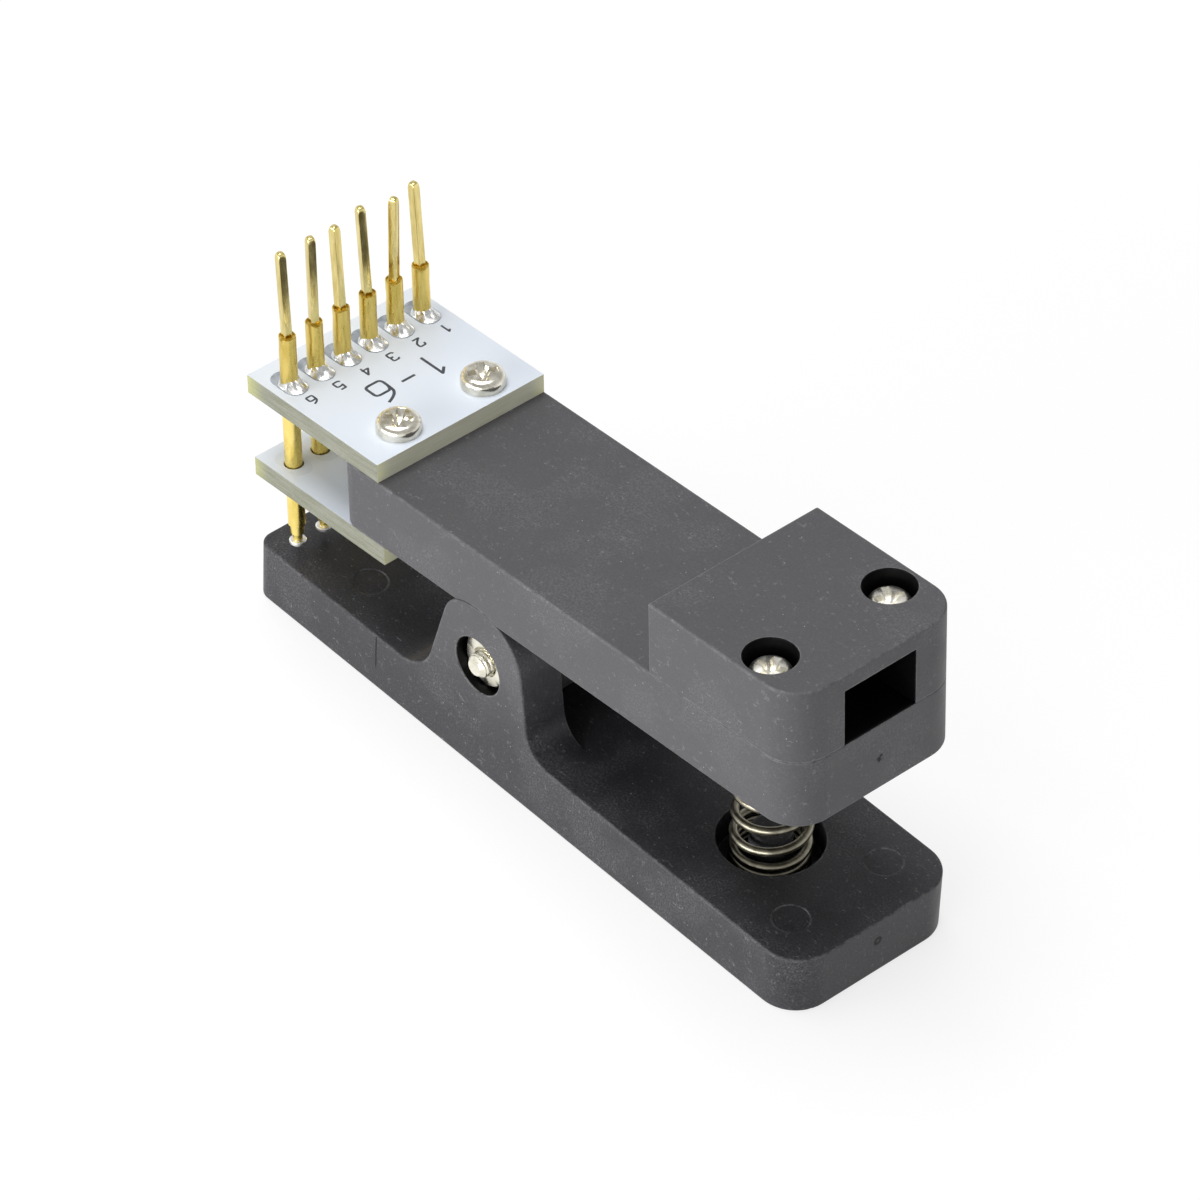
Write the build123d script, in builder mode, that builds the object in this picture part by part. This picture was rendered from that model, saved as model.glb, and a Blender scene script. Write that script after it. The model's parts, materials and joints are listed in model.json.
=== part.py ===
"""A spring clip that presses a row of six sprung probes on the edge of a circuit board.

+X points to the squeezed end, -X to the probes, +Z up. The origin is the middle of the
lower arm's underside. All sizes are in millimetres and all angles in degrees.
"""
import os
from itertools import cycle
from math import cos, radians, sin, tan

from build123d import *

os.makedirs("parts", exist_ok=True)

# Both arms
arm_width = 16.0
corner_radius = 3.0
edge_radius = 0.15

# Lower arm and its hinge ears
base_length = 59.0
base_height = 5.0
jaw_reach = 24.9
jaw_corner_radius = 1.3
ear_thickness = 3.75
ear_crown_radius = 5.38
jaw_crown_angle = 22.0
handle_crown_angle = 20.0
jaw_side_reach = 4.44
handle_side_reach = 4.84
jaw_side_lean = 15.0
handle_side_lean = 9.0
jaw_foot_radius = 3.6
handle_foot_radius = 2.5

# Hinge
pivot_height = 9.95
hinge_side_clearance = 0.1
hinge_clearance = 0.05
relief_clearance = 0.07
lug_floor_clearance = 0.5

# Pivot screw and nut
pivot_screw_radius = 1.0
pivot_screw_length = 14.0
pivot_head_radius = 1.95
pivot_head_height = 1.5
nut_across_flats = 4.0
nut_thickness = 1.6
pivot_pocket_radius = 2.4
pivot_pocket_depth = 2.3

# Upper arm
closed_tilt = 4.35
arm_drop = 4.9
arm_thickness = 5.75
nose_reach = 14.9
handle_reach = 33.65
nose_corner_radius = 1.5

# Return spring, its pocket and its seat
spring_reach = 22.9
spring_outer_radius = 3.05
spring_wire_radius = 0.29
spring_turns = 7
pocket_radius = 4.0
pocket_depth = 2.6
post_radius = 1.6
post_height = 3.6
post_edge_radius = 0.3
seat_radius = 3.5
seat_depth = 2.0
spring_end_clearance = 0.3

# Circuit boards
board_length = 14.65
board_side_clearance = 0.05
board_thickness = 1.6
board_lead = 2.9
board_overlap = 4.35
lower_board_shift = 0.35

# Row of probes
probe_count = 6
probe_pitch = 2.54
sleeve_radius = 0.66
sleeve_bore_radius = 0.53
sleeve_top_rise = 4.4
sleeve_bottom_drop = 4.0
board_hole_clearance = 0.09
pad_hole_clearance = 0.02
barrel_radius = 0.51
barrel_bore_radius = 0.43
barrel_length = 12.0
barrel_drop = 0.9
barrel_lip = 0.3
barrel_chamfer = 0.1
plunger_radius = 0.36
plunger_collar_radius = 0.39
plunger_collar_length = 1.8
plunger_travel = 0.5
plunger_spare = 2.15
probe_fit = 0.03
head_radius = 0.65
head_rim = 0.25
head_chamfer = 0.08
head_cone_height = 0.62
head_point_radius = 0.06
probe_spring_radius = 0.36
probe_spring_wire_radius = 0.07
probe_spring_turns = 9

# Square posts in the tops of the sleeves
post_width = 0.64
post_grip = 2.0
post_tip_length = 0.6
post_tip_taper = 18.0
post_rises = (7.25, 7.55, 7.1, 7.5, 7.45, 7.2)
post_leans = (-2.0, 0.3, -2.2, -2.8, 2.4, -3.0)
post_twists = (-10.0, -17.0, 6.0, -15.0, 28.0, -13.0)

# Pads and solder
pad_length = 3.3
pad_width = 1.9
pad_thickness = 0.06
solder_foot_radius = 0.92
solder_height = 0.55

# Screws that hold the boards
board_screw_spacing = 8.05
board_screw_setback = 2.15
board_screw_radius = 1.0
board_screw_head_radius = 1.7
board_screw_head_height = 1.15
board_screw_length = 4.0

# Cable cover and its screws
cover_length = 15.0
cover_height = 6.2
tunnel_width = 6.7
tunnel_height = 4.8
cover_screw_spacing = 11.2
cover_screw_inset = 5.05
cover_screw_radius = 1.0
cover_screw_head_radius = 1.6
cover_screw_head_height = 1.0
cover_screw_length = 8.0
cover_pocket_radius = 2.0
cover_head_sink = 1.2

# Sizes shared by the screws: fit, point, rounding of the head and cross recess
screw_fit = 0.02
screw_point = 0.35
head_edge_radius = 0.6
recess_length = 1.9
recess_width = 0.42
recess_depth = 0.6
pilot_spare = 0.5

# Marks of the mould's ejector pins
ejector_mark_depth = 0.05
ejector_mark_radius = 1.4
ejector_mark_side = 4.5
ejector_handle_inset = 4.2
ejector_jaw_inset = 8.9

# Places that follow from the sizes above
pivot_x = jaw_reach - base_length / 2
spring_x = pivot_x + spring_reach
tilt_cos = cos(radians(closed_tilt))
tilt_sin = sin(radians(closed_tilt))
along_arm = (tilt_cos, 0, tilt_sin)
out_of_arm = (-tilt_sin, 0, tilt_cos)
arm_plane = Plane(origin=(pivot_x, 0, pivot_height), x_dir=along_arm, z_dir=out_of_arm)
arm_side = Plane(origin=(pivot_x, 0, pivot_height), x_dir=along_arm, z_dir=(0, -1, 0))
arm_top = arm_drop + arm_thickness
board_width = arm_width - 2 * board_side_clearance
slot_width = arm_width - 2 * ear_thickness
lug_width = slot_width - 2 * hinge_side_clearance
probe_reach = nose_reach + board_length - board_lead - board_overlap
probe_rows = [(n - (probe_count - 1) / 2) * probe_pitch for n in range(probe_count)]
top_board_top = arm_top + board_thickness
lower_board_bottom = arm_drop - board_thickness
sleeve_top = top_board_top + sleeve_top_rise
sleeve_bottom = lower_board_bottom - sleeve_bottom_drop
barrel_bottom = sleeve_bottom - barrel_drop
head_top = barrel_bottom - plunger_travel - probe_fit
cover_screw_reach = handle_reach - cover_screw_inset
board_screw_reach = nose_reach - board_screw_setback


def at_arm(reach, side, height):
    """Plane parallel to the upper arm, with its origin that far along, across and out."""
    return Plane(
        origin=arm_plane.from_local_coords(Vector(reach, side, height)),
        x_dir=arm_plane.x_dir,
        z_dir=arm_plane.z_dir,
    )


def turned_over(plane):
    """The same place with its outward direction reversed."""
    return Plane(origin=plane.origin, x_dir=plane.x_dir, z_dir=-plane.z_dir)


def add_turned(plane, outline):
    """Turns an outline of radius and height points about the plane's own normal."""
    upright = Plane(origin=plane.origin, x_dir=plane.x_dir, z_dir=-plane.y_dir)
    with BuildSketch(upright) as profile:
        with BuildLine():
            Polyline(*outline, close=True)
        make_face()
    revolve(profile.sketch, axis=Axis(plane.origin, plane.z_dir))


def add_pan_screw(seat, shank_radius, length, head_radius, head_height):
    """A round-headed screw with a cross recess, its head resting on the seat plane."""
    upright = Plane(origin=seat.origin, x_dir=seat.x_dir, z_dir=-seat.y_dir)
    crown = min(head_edge_radius, head_height / 2)
    with BuildSketch(upright) as profile:
        with BuildLine():
            Polyline(
                (0, head_height),
                (0, -length),
                (shank_radius - screw_point, -length),
                (shank_radius, screw_point - length),
                (shank_radius, 0),
                (head_radius, 0),
                (head_radius, head_height - crown),
            )
            RadiusArc((head_radius, head_height - crown), (head_radius - crown, head_height), -crown)
            Line((head_radius - crown, head_height), (0, head_height))
        make_face()
    revolve(profile.sketch, axis=Axis(seat.origin, seat.z_dir))
    with BuildSketch(seat.offset(head_height)) as cross:
        Rectangle(recess_length, recess_width)
        Rectangle(recess_width, recess_length)
    extrude(cross.sketch, amount=-recess_depth, mode=Mode.SUBTRACT)


# Lower arm


def shoulder(direction, crown_angle, side_lean, side_reach):
    """Start, middle and end of the arc between an ear's crown and its straight side."""
    turn = 90 - side_lean - crown_angle
    radius = (side_reach - ear_crown_radius * cos(radians(turn))) / (1 - cos(radians(turn)))
    points = []
    for angle in (crown_angle, crown_angle + turn / 2, crown_angle + turn):
        across = (ear_crown_radius - radius) * sin(radians(crown_angle)) + radius * sin(radians(angle))
        rise = (ear_crown_radius - radius) * cos(radians(crown_angle)) + radius * cos(radians(angle))
        points.append((pivot_x + direction * across, pivot_height + rise))
    return points


jaw_shoulder = shoulder(-1, jaw_crown_angle, jaw_side_lean, jaw_side_reach)
handle_shoulder = shoulder(1, handle_crown_angle, handle_side_lean, handle_side_reach)
foot_z = base_height / 2
jaw_foot_x = jaw_shoulder[2][0] - (jaw_shoulder[2][1] - foot_z) * tan(radians(jaw_side_lean))
handle_foot_x = handle_shoulder[2][0] + (handle_shoulder[2][1] - foot_z) * tan(radians(handle_side_lean))
slot_start = jaw_foot_x - jaw_foot_radius
slot_end = handle_foot_x + handle_foot_radius

with BuildPart() as lower_arm:
    with BuildSketch() as base_outline:
        Rectangle(base_length, arm_width)
        fillet(base_outline.vertices().sort_by(Axis.X)[:2], radius=jaw_corner_radius)
        fillet(base_outline.vertices().sort_by(Axis.X)[-2:], radius=corner_radius)
    extrude(amount=base_height)
    with BuildSketch(Plane.XZ):
        with BuildLine():
            Line((jaw_foot_x, foot_z), jaw_shoulder[2])
            ThreePointArc(*jaw_shoulder)
            ThreePointArc(jaw_shoulder[0], (pivot_x, pivot_height + ear_crown_radius), handle_shoulder[0])
            ThreePointArc(*handle_shoulder)
            Line(handle_shoulder[2], (handle_foot_x, foot_z))
            Line((handle_foot_x, foot_z), (jaw_foot_x, foot_z))
        make_face()
    extrude(amount=arm_width / 2, both=True)
    top_lines = lower_arm.edges().filter_by(Axis.Y).filter_by_position(Axis.Z, base_height, base_height)
    jaw_foot, handle_foot = top_lines.sort_by(Axis.X)[1:3]
    fillet(jaw_foot, radius=jaw_foot_radius)
    foot_lines = lower_arm.edges().filter_by(Axis.Y).filter_by_position(Axis.Z, base_height, base_height)
    fillet(foot_lines.sort_by(Axis.X)[-2], radius=handle_foot_radius)
    # One edge of each outline is enough, because the rounding follows the tangent edges.
    underside = lower_arm.faces().sort_by(Axis.Z)[0]
    squeezed_end = lower_arm.faces().sort_by(Axis.X)[-1]
    fillet(
        [underside.edges().sort_by(Axis.X)[-1], squeezed_end.edges().sort_by(Axis.Z)[-1]],
        radius=edge_radius,
    )
    # Slot for the upper arm's lug
    with BuildSketch(Plane.XY.offset(base_height)):
        with Locations(((slot_start + slot_end) / 2, 0)):
            Rectangle(slot_end - slot_start, slot_width)
    extrude(amount=pivot_height + ear_crown_radius, mode=Mode.SUBTRACT)
    # Pivot bore, with a pocket for the nut on one side and for the head on the other
    with BuildSketch(Plane.XZ):
        with Locations((pivot_x, pivot_height)):
            Circle(pivot_screw_radius + hinge_clearance)
    extrude(amount=arm_width, both=True, mode=Mode.SUBTRACT)
    for side in (-1, 1):
        with BuildSketch(Plane.XZ.offset(side * arm_width / 2)):
            with Locations((pivot_x, pivot_height)):
                Circle(pivot_pocket_radius)
        extrude(amount=-side * pivot_pocket_depth, mode=Mode.SUBTRACT)
    # Spring pocket with its centre post
    with BuildSketch(Plane.XY.offset(base_height - pocket_depth)):
        with Locations((spring_x, 0)):
            Circle(pocket_radius)
    extrude(amount=pocket_depth, mode=Mode.SUBTRACT)
    with BuildSketch(Plane.XY.offset(base_height - pocket_depth)):
        with Locations((spring_x, 0)):
            Circle(post_radius)
    extrude(amount=post_height)
    post_rim = lower_arm.edges().filter_by(GeomType.CIRCLE).filter_by_position(
        Axis.Z, base_height - pocket_depth + post_height, base_height - pocket_depth + post_height
    )
    fillet(post_rim.filter_by(lambda edge: edge.radius == post_radius), radius=post_edge_radius)
    # Ejector pin marks
    with BuildSketch(Plane.XY.offset(base_height)):
        with Locations((base_length / 2 - ejector_handle_inset, 0), (ejector_jaw_inset - base_length / 2, 0)):
            with GridLocations(0, 2 * ejector_mark_side, 1, 2):
                Circle(ejector_mark_radius)
    extrude(amount=-ejector_mark_depth, mode=Mode.SUBTRACT)
lower_arm.part.label = "lower_arm"
export_step(lower_arm.part, "parts/lower_arm.step")

# Upper arm
relief_radius = ear_crown_radius + relief_clearance
lug_radius = pivot_height - base_height - lug_floor_clearance
seat_height = arm_drop + seat_depth
seat_reach = (spring_reach + seat_height * tilt_sin) / tilt_cos

with BuildPart() as upper_arm:
    with BuildSketch(arm_plane.offset(arm_drop)):
        with Locations(((handle_reach - nose_reach) / 2, 0)):
            Rectangle(handle_reach + nose_reach, arm_width)
    extrude(amount=arm_thickness)
    upright_edges = upper_arm.edges().filter_by(Axis(arm_plane.origin, arm_plane.z_dir)).sort_by(Axis.X)
    fillet(upright_edges[:2], radius=nose_corner_radius)
    upright_edges = upper_arm.edges().filter_by(Axis(arm_plane.origin, arm_plane.z_dir)).sort_by(Axis.X)
    fillet(upright_edges[-2:], radius=corner_radius)
    broad_faces = upper_arm.faces().sort_by(Axis(arm_plane.origin, arm_plane.z_dir))
    fillet(broad_faces[0].edges() + broad_faces[-1].edges(), radius=edge_radius)
    # Relief above the hinge ears
    with BuildSketch(arm_side):
        Circle(relief_radius)
    extrude(amount=arm_width, both=True, mode=Mode.SUBTRACT)
    # Hinge lug between the ears
    with BuildSketch(arm_side):
        Circle(lug_radius)
        with Locations((0, relief_radius / 2 + edge_radius)):
            Rectangle(2 * lug_radius, relief_radius + 2 * edge_radius)
    extrude(amount=lug_width / 2, both=True)
    with BuildSketch(arm_side):
        Circle(pivot_screw_radius + hinge_clearance)
    extrude(amount=arm_width, both=True, mode=Mode.SUBTRACT)
    # Seat for the top of the spring
    with BuildSketch(at_arm(seat_reach, 0, arm_drop)):
        Circle(seat_radius)
    extrude(amount=seat_depth, mode=Mode.SUBTRACT)
    # Pilot holes of the board screws, right through
    with BuildSketch(at_arm(-board_screw_reach, 0, arm_drop)):
        with GridLocations(0, board_screw_spacing, 1, 2):
            Circle(board_screw_radius + screw_fit)
    extrude(amount=arm_thickness, mode=Mode.SUBTRACT)
    # Pilot holes of the cover screws, blind
    cover_grip = cover_screw_length - (cover_height - cover_head_sink - cover_screw_head_height)
    with BuildSketch(at_arm(cover_screw_reach, 0, arm_top)):
        with GridLocations(0, cover_screw_spacing, 1, 2):
            Circle(cover_screw_radius + screw_fit)
    extrude(amount=-min(cover_grip + pilot_spare, arm_thickness), mode=Mode.SUBTRACT)
upper_arm.part.label = "upper_arm"
export_step(upper_arm.part, "parts/upper_arm.step")

# Cable cover
with BuildPart() as cable_cover:
    with BuildSketch(arm_plane.offset(arm_top)):
        with Locations((handle_reach - cover_length / 2, 0)):
            Rectangle(cover_length, arm_width)
    extrude(amount=cover_height)
    upright_edges = cable_cover.edges().filter_by(Axis(arm_plane.origin, arm_plane.z_dir)).sort_by(Axis.X)
    fillet(upright_edges[-2:], radius=corner_radius)
    upright_edges = cable_cover.edges().filter_by(Axis(arm_plane.origin, arm_plane.z_dir)).sort_by(Axis.X)
    fillet(upright_edges[:2], radius=edge_radius)
    cover_roof = cable_cover.faces().sort_by(Axis(arm_plane.origin, arm_plane.z_dir))[-1]
    fillet(cover_roof.edges(), radius=edge_radius)
    with BuildSketch(arm_plane.offset(arm_top)):
        with Locations((handle_reach - cover_length / 2, 0)):
            Rectangle(2 * cover_length, tunnel_width)
    extrude(amount=tunnel_height, mode=Mode.SUBTRACT)
    with BuildSketch(at_arm(cover_screw_reach, 0, arm_top)):
        with GridLocations(0, cover_screw_spacing, 1, 2):
            Circle(cover_screw_radius + screw_fit)
    extrude(amount=cover_height, mode=Mode.SUBTRACT)
    with BuildSketch(at_arm(cover_screw_reach, 0, arm_top + cover_height)):
        with GridLocations(0, cover_screw_spacing, 1, 2):
            Circle(cover_pocket_radius)
    extrude(amount=-(cover_head_sink + cover_screw_head_height), mode=Mode.SUBTRACT)
cable_cover.part.label = "cable_cover"
export_step(cable_cover.part, "parts/cable_cover.step")

cover_seat_height = arm_top + cover_height - cover_head_sink - cover_screw_head_height
with BuildPart() as cover_screws:
    for side in (-1, 1):
        add_pan_screw(
            at_arm(cover_screw_reach, side * cover_screw_spacing / 2, cover_seat_height),
            cover_screw_radius,
            cover_screw_length,
            cover_screw_head_radius,
            cover_screw_head_height,
        )
cover_screws.part.label = "cover_screws"
export_step(cover_screws.part, "parts/cover_screws.step")

# Circuit boards with their pads, solder and screws
board_start = -(probe_reach + board_lead)


def add_board(start, underside):
    """A drilled board whose probe-side edge is at start along the arm."""
    with BuildSketch(arm_plane.offset(underside)) as outline:
        with Locations((start + board_length / 2, 0)):
            Rectangle(board_length, board_width)
        with Locations([(-probe_reach, row) for row in probe_rows]):
            Circle(sleeve_radius + board_hole_clearance, mode=Mode.SUBTRACT)
        with Locations((-board_screw_reach, 0)):
            with GridLocations(0, board_screw_spacing, 1, 2):
                Circle(board_screw_radius + screw_fit, mode=Mode.SUBTRACT)
    extrude(outline.sketch, amount=board_thickness)


def add_pads(height, thickness):
    """One long pad round each probe, lying on a board's face."""
    with BuildSketch(arm_plane.offset(height)) as pads:
        with Locations([(-probe_reach, row) for row in probe_rows]):
            SlotOverall(pad_length, pad_width)
            Circle(sleeve_radius + pad_hole_clearance, mode=Mode.SUBTRACT)
    extrude(pads.sketch, amount=thickness)


def add_solder(height, direction):
    """A cone of solder round each sleeve, standing on a pad."""
    for row in probe_rows:
        foot = at_arm(-probe_reach, row, height)
        if direction < 0:
            foot = turned_over(foot)
        add_turned(
            foot,
            [
                (sleeve_radius, 0),
                (solder_foot_radius, 0),
                ((sleeve_radius + solder_foot_radius) / 2, solder_height / 2),
                (sleeve_radius + pad_hole_clearance, solder_height),
                (sleeve_radius, solder_height),
            ],
        )


with BuildPart() as top_board:
    add_board(board_start, arm_top)
top_board.part.label = "top_board"
export_step(top_board.part, "parts/top_board.step")

with BuildPart() as lower_board:
    add_board(board_start + lower_board_shift, lower_board_bottom)
lower_board.part.label = "lower_board"
export_step(lower_board.part, "parts/lower_board.step")

with BuildPart() as top_board_pads:
    add_pads(top_board_top, pad_thickness)
top_board_pads.part.label = "top_board_pads"
export_step(top_board_pads.part, "parts/top_board_pads.step")

with BuildPart() as lower_board_pads:
    add_pads(lower_board_bottom, -pad_thickness)
lower_board_pads.part.label = "lower_board_pads"
export_step(lower_board_pads.part, "parts/lower_board_pads.step")

with BuildPart() as top_board_solder:
    add_solder(top_board_top + pad_thickness, 1)
top_board_solder.part.label = "top_board_solder"
export_step(top_board_solder.part, "parts/top_board_solder.step")

with BuildPart() as lower_board_solder:
    add_solder(lower_board_bottom - pad_thickness, -1)
lower_board_solder.part.label = "lower_board_solder"
export_step(lower_board_solder.part, "parts/lower_board_solder.step")

with BuildPart() as top_board_screws:
    for side in (-1, 1):
        add_pan_screw(
            at_arm(-board_screw_reach, side * board_screw_spacing / 2, top_board_top),
            board_screw_radius,
            board_screw_length,
            board_screw_head_radius,
            board_screw_head_height,
        )
top_board_screws.part.label = "top_board_screws"
export_step(top_board_screws.part, "parts/top_board_screws.step")

with BuildPart() as lower_board_screws:
    for side in (-1, 1):
        add_pan_screw(
            turned_over(at_arm(-board_screw_reach, side * board_screw_spacing / 2, lower_board_bottom)),
            board_screw_radius,
            board_screw_length,
            board_screw_head_radius,
            board_screw_head_height,
        )
lower_board_screws.part.label = "lower_board_screws"
export_step(lower_board_screws.part, "parts/lower_board_screws.step")

# Pivot screw, with its head on the far side, and the nut on its end
pivot_seat = arm_width / 2 - pivot_pocket_depth
with BuildPart() as pivot_screw:
    add_pan_screw(
        Plane(origin=(pivot_x, pivot_seat, pivot_height), x_dir=(1, 0, 0), z_dir=(0, 1, 0)),
        pivot_screw_radius,
        pivot_screw_length,
        pivot_head_radius,
        pivot_head_height,
    )
pivot_screw.part.label = "pivot_screw"
export_step(pivot_screw.part, "parts/pivot_screw.step")

with BuildPart() as pivot_nut:
    with BuildSketch(Plane.XZ.offset(pivot_seat)):
        with Locations((pivot_x, pivot_height)):
            RegularPolygon(nut_across_flats / 2, 6, major_radius=False)
            Circle(pivot_screw_radius + screw_fit, mode=Mode.SUBTRACT)
    extrude(amount=nut_thickness)
pivot_nut.part.label = "pivot_nut"
export_step(pivot_nut.part, "parts/pivot_nut.step")

# Return spring, standing in its pocket
spring_bottom = base_height - pocket_depth
seat_middle_z = pivot_height + seat_reach * tilt_sin + seat_height * tilt_cos
spring_length = seat_middle_z - spring_bottom - spring_end_clearance
spring_coil_radius = spring_outer_radius - spring_wire_radius
spring_rise = spring_length - 2 * spring_wire_radius
with BuildPart() as return_spring:
    with BuildLine():
        spring_path = Helix(
            pitch=spring_rise / spring_turns,
            height=spring_rise,
            radius=spring_coil_radius,
            center=(spring_x, 0, spring_bottom + spring_wire_radius),
        )
    with BuildSketch(Plane(origin=spring_path @ 0, z_dir=spring_path % 0)):
        Circle(spring_wire_radius)
    sweep(is_frenet=True)
return_spring.part.label = "return_spring"
export_step(return_spring.part, "parts/return_spring.step")

# Probes: a sleeve soldered through both boards, and a barrel, plunger and spring in it
barrel_top = barrel_bottom + barrel_length
collar_bottom = barrel_bottom + barrel_lip + plunger_spare
collar_top = collar_bottom + plunger_collar_length
cone_top = head_top - head_rim
probe_spring_start = collar_top + probe_spring_wire_radius
probe_spring_rise = barrel_top - barrel_lip - probe_fit - probe_spring_wire_radius - probe_spring_start

# No two posts stand alike: each has its own height, lean and twist.
post_shapes = zip(cycle(post_rises), cycle(post_leans), cycle(post_twists))

for number, (row, (rise, lean, twist)) in enumerate(zip(probe_rows, post_shapes), start=1):
    foot = at_arm(-probe_reach, row, 0)
    # The post leans about the middle of the length that the sleeve grips.
    grip_middle = foot.offset(sleeve_top - post_grip / 2).rotated((0, lean, 0))

    with BuildPart() as probe_sleeve:
        add_turned(
            foot,
            [
                (sleeve_bore_radius, sleeve_bottom),
                (sleeve_radius, sleeve_bottom),
                (sleeve_radius, sleeve_top),
                (sleeve_bore_radius, sleeve_top),
            ],
        )
        with BuildSketch(foot.offset(sleeve_top - post_grip)):
            Circle(sleeve_bore_radius)
        extrude(amount=post_grip)
        with BuildSketch(grip_middle):
            Rectangle(post_width, post_width, rotation=twist)
        extrude(amount=post_grip, both=True, mode=Mode.SUBTRACT)
    probe_sleeve.part.label = f"probe_sleeve_{number}"
    export_step(probe_sleeve.part, f"parts/probe_sleeve_{number}.step")

    with BuildPart() as wire_post:
        with BuildSketch(grip_middle.offset(-post_grip / 2)):
            Rectangle(post_width, post_width, rotation=twist)
        extrude(amount=post_grip + rise - post_tip_length)
        with BuildSketch(grip_middle.offset(post_grip / 2 + rise - post_tip_length)):
            Rectangle(post_width, post_width, rotation=twist)
        extrude(amount=post_tip_length, taper=post_tip_taper)
    wire_post.part.label = f"wire_post_{number}"
    export_step(wire_post.part, f"parts/wire_post_{number}.step")

    with BuildPart() as probe_barrel:
        add_turned(
            foot,
            [
                (plunger_radius + probe_fit, barrel_bottom),
                (barrel_radius - barrel_chamfer, barrel_bottom),
                (barrel_radius, barrel_bottom + barrel_chamfer),
                (barrel_radius, barrel_top),
                (0, barrel_top),
                (0, barrel_top - barrel_lip),
                (barrel_bore_radius, barrel_top - barrel_lip),
                (barrel_bore_radius, barrel_bottom + barrel_lip),
                (plunger_radius + probe_fit, barrel_bottom + barrel_lip),
            ],
        )
    probe_barrel.part.label = f"probe_barrel_{number}"
    export_step(probe_barrel.part, f"parts/probe_barrel_{number}.step")

    with BuildPart() as probe_plunger:
        add_turned(
            foot,
            [
                (0, cone_top - head_cone_height),
                (head_point_radius, cone_top - head_cone_height),
                (head_radius, cone_top),
                (head_radius, head_top - head_chamfer),
                (head_radius - head_chamfer, head_top),
                (plunger_radius, head_top),
                (plunger_radius, collar_bottom),
                (plunger_collar_radius, collar_bottom),
                (plunger_collar_radius, collar_top),
                (0, collar_top),
            ],
        )
    probe_plunger.part.label = f"probe_plunger_{number}"
    export_step(probe_plunger.part, f"parts/probe_plunger_{number}.step")

    with BuildPart() as probe_spring:
        with BuildLine():
            coil = Helix(
                pitch=probe_spring_rise / probe_spring_turns,
                height=probe_spring_rise,
                radius=probe_spring_radius - probe_spring_wire_radius,
                center=foot.offset(probe_spring_start).origin,
                direction=foot.z_dir,
            )
        with BuildSketch(Plane(origin=coil @ 0, z_dir=coil % 0)):
            Circle(probe_spring_wire_radius)
        sweep(is_frenet=True)
    probe_spring.part.label = f"probe_spring_{number}"
    export_step(probe_spring.part, f"parts/probe_spring_{number}.step")
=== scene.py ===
"""The looks of a spring clip that presses a row of six sprung probes on a circuit board.

Shapes are built in millimetres and placed in metres. A place on the upper arm is given by how
far it is along the arm from the pivot, how far across, and how far out of the arm.
"""
import json
import random
from math import atan2, cos, exp, pi, radians, sin, sqrt, tau

import bmesh
import bpy
from mathutils import Matrix, Vector


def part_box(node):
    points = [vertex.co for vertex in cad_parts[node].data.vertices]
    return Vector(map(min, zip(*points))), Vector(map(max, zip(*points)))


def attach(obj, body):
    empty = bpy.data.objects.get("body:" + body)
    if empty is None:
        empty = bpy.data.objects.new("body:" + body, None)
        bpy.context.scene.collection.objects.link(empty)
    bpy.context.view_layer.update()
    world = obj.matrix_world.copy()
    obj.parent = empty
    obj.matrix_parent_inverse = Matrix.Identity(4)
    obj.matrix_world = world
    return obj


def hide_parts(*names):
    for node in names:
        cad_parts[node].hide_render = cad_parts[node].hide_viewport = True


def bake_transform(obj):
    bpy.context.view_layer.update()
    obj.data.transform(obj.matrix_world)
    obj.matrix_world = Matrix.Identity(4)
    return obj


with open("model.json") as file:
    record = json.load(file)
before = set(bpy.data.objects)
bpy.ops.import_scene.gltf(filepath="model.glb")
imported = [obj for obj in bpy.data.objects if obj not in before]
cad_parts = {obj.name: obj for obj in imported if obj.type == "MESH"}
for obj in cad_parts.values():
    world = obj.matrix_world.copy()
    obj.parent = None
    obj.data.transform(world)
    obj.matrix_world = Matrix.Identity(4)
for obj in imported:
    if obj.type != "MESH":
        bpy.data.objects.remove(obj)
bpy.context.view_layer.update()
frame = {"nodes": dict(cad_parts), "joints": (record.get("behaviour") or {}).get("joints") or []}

# The metres in a millimetre
mm = 0.001

# Camera, in degrees and millimetres: where it looks from, the point of the floor it aims at, its lens
view_azimuth = 46.718
view_elevation = 42.132
view_roll = 2.57
view_foot = (-12.308, 11.064, 0)
view_distance = 559.919
view_lens = 225
view_sensor = 36

# Lamps, in metres and watts
overhead_softbox = {"origin": (-0.25, -0.02, 0.97), "width": 0.7, "height": 0.7, "power": 7.0}
front_softbox = {"origin": (0.0, -0.98, 0.17), "width": 1.4, "height": 0.3, "power": 11.8}

# Strength of the world: as a light, and as it is seen near the horizon and overhead
world_for_surfaces = 0.2
world_level = 1.0
world_overhead = 0.55

# Heights on a ball of radius 1 between which the world dims
world_dims_from = 0.1
world_dims_to = 0.6

# Floor, in metres, with the colour it shows and the colour it lights the object with
floor_size = 6.0
floor_colour_seen = 0.3
floor_colour_lighting = 0.8

# The floor's glow where it is seen, which grows between two distances in millimetres from the middle
# of the scene; the dimmer glow near the object is painted shade, which the object's lower sides also
# mirror
floor_glow_near = 0.74
floor_glow_far = 1.0
floor_near = 60
floor_far = 400

# Probe row and what stands on it
probe_count = 6
probe_pitch = 2.54
probe_reach = 22.3
top_face = 12.25
lower_face = 3.3
pad_thickness = 0.06
pad_radius = 0.95
pad_flat = 0.7
sleeve_radius = 0.66
sleeve_bore = 0.53
sleeve_mouth = 0.57
sleeve_bottom = -0.7
sleeve_top = 16.65
sleeve_plug = 16.45
sleeve_chamfer = 0.05
head_top = -2.1

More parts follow.
